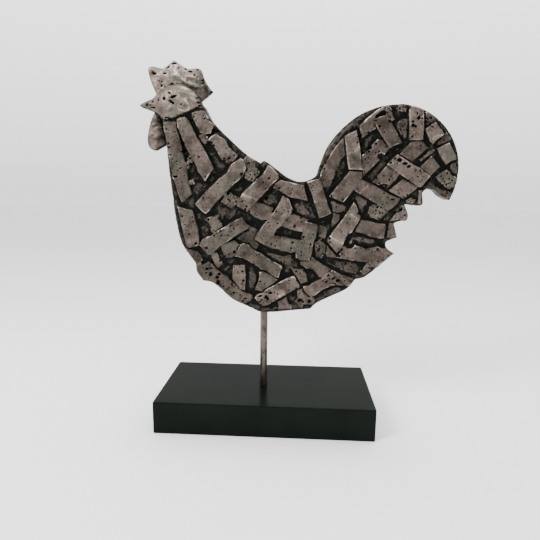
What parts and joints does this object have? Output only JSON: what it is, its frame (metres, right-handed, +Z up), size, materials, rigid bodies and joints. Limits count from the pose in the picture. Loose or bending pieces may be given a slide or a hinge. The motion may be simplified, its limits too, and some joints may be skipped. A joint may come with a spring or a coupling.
{
  "type": "rooster figurine",
  "caption": "Flat standing rooster figure cast as crossed strips in relief, held on a round rod above a rectangular black block.",
  "frame": {"origin": "middle of the block's underside, on the surface it stands on", "axes": "+Z up along the rod, +X towards the tail, +Y towards the plainer back of the figure"},
  "size_m": [0.3139, 0.11, 0.365],
  "materials": {
    "antiqued_metal": "rough-cast metal with a dark patina, rubbed bright on the raised strips",
    "black_paint": "satin black paint over a wooden block"
  },
  "bodies": {
    "root": {"rooster": "antiqued_metal", "post": "antiqued_metal", "base": "black_paint"}
  },
  "joints": []
}
